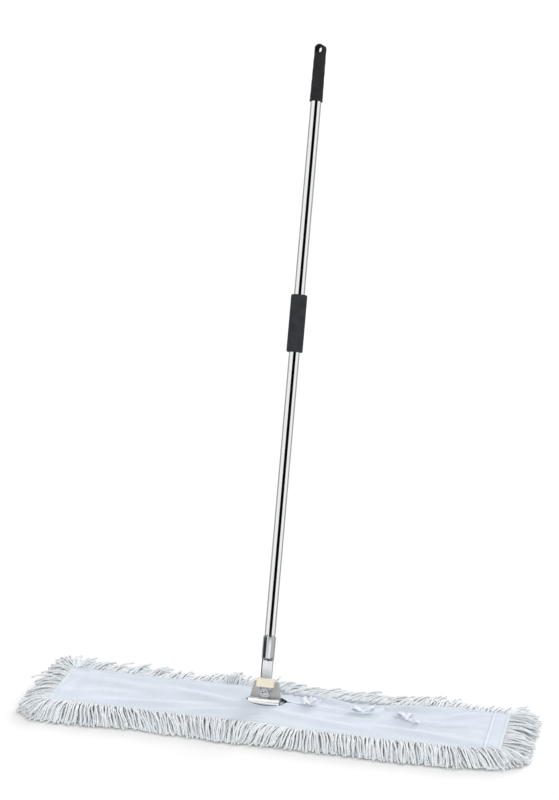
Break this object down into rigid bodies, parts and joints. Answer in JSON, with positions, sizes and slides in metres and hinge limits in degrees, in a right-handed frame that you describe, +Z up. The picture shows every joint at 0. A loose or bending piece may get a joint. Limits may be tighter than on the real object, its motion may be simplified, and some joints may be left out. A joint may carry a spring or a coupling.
{
  "type": "dust mop",
  "caption": "Long cotton dust mop head on a wire frame, with a tilting and swinging clip, a sliding nylon block and a polished tube handle with a foam grip and a hang cap.",
  "frame": {"origin": "on the floor, straight below the hinge axis and the middle of the clip", "axes": "+X along the mop head to the user's right, +Y away from the user, +Z up"},
  "size_m": [1.032, 0.6329, 1.2776],
  "materials": {
    "wire": "bright drawn wire",
    "hinge_steel": "zinc plated",
    "cloth": "plain woven cotton and polyester, pale bluish white",
    "yarn": "twisted cotton yarn, off white",
    "tape": "woven cotton tape, white",
    "zinc_plate": "zinc plated sheet, satin",
    "rivet_steel": "bright zinc plated",
    "zinc_socket": "zinc plated, semi bright",
    "stainless": "polished stainless steel",
    "insert_plastic": "moulded, natural white",
    "foam": "fine closed-cell foam, charcoal",
    "cap_plastic": "soft moulded, black",
    "nylon": "moulded nylon, cream"
  },
  "bodies": {
    "head": {"frame_wire_left": "wire", "frame_wire_right": "wire", "cross_wire_left": "wire", "cross_wire_right": "wire", "centre_rod": "wire", "centre_tube": "hinge_steel", "top_cover": "cloth", "end_panel": "cloth", "bottom_backing": "cloth", "yarn_pad": "yarn", "fringe_front": "yarn", "fringe_back": "yarn", "fringe_left": "yarn", "fringe_right": "yarn", "tie_near": "tape", "tie_middle": "tape", "tie_far": "tape"},
    "clip": {"clip_plate": "zinc_plate", "pivot_rivet": "rivet_steel", "rivet_washer": "rivet_steel", "spacer_washer": "rivet_steel"},
    "handle": {"socket": "zinc_socket", "lower_tube": "stainless", "upper_tube": "stainless", "joiner_plug": "insert_plastic", "joiner_sleeve": "insert_plastic", "mid_grip": "foam", "hang_cap": "cap_plastic"},
    "block": {"slide_block": "nylon"}
  },
  "joints": [
    {"name": "clip_tilt", "type": "hinge", "parent": "head", "child": "clip", "pos_m": [0, 0, 0.02625], "axis": [1, 0, 0], "range_deg": [-45, 70]},
    {"name": "handle_swing", "type": "hinge", "parent": "clip", "child": "handle", "pos_m": [0, 0.00681, 0.04399], "axis": [0, 0.9336, -0.3584], "range_deg": [-50, 50]},
    {"name": "block_slide", "type": "slide", "parent": "handle", "child": "block", "axis": [0, 0.3584, 0.9336], "range_m": [0, 0.022]}
  ]
}
